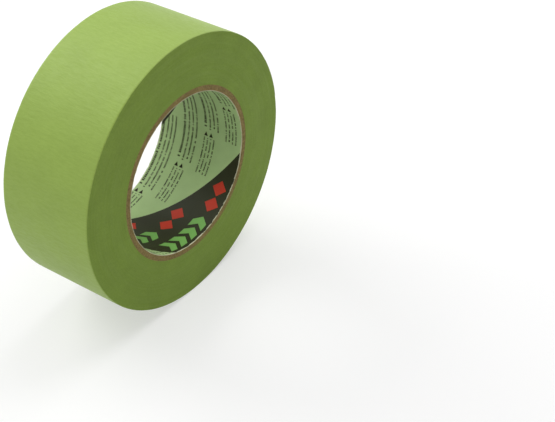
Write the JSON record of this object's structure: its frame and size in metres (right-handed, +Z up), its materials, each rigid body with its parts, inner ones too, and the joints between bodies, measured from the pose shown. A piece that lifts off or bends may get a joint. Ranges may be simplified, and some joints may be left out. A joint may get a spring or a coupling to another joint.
{
  "type": "masking tape roll",
  "caption": "Wide roll of creped paper masking tape wound on a spiral paper core with a printed bore, standing on its tread, with a free end that peels up.",
  "frame": {"origin": "centre of the core's bore, midway between the two faces", "axes": "+Y along the core's axis from the front face, whose normal is -Y, to the back face; +Z up from the tread that the roll stands on; +X to the right seen from the front"},
  "size_m": [0.1302, 0.048, 0.1303],
  "materials": {
    "crepe_paper": "matte creped paper",
    "core_board": "uncoated kraft board",
    "printed_liner": "printed, slightly glossy",
    "adhesive": "tacky natural rubber film"
  },
  "bodies": {
    "roll": {"core_liner": "printed_liner", "core_ply_1": "core_board", "core_ply_2": "core_board", "core_ply_3": "core_board", "core_ply_4": "core_board", "wound_tape": "crepe_paper"},
    "free_end": {"tape_end": "crepe_paper", "tape_end_adhesive": "adhesive"}
  },
  "joints": [
    {"name": "peel", "type": "hinge", "parent": "roll", "child": "free_end", "pos_m": [0.05655, 0, 0.03265], "axis": [0, -1, 0], "range_deg": [0, 160]}
  ]
}
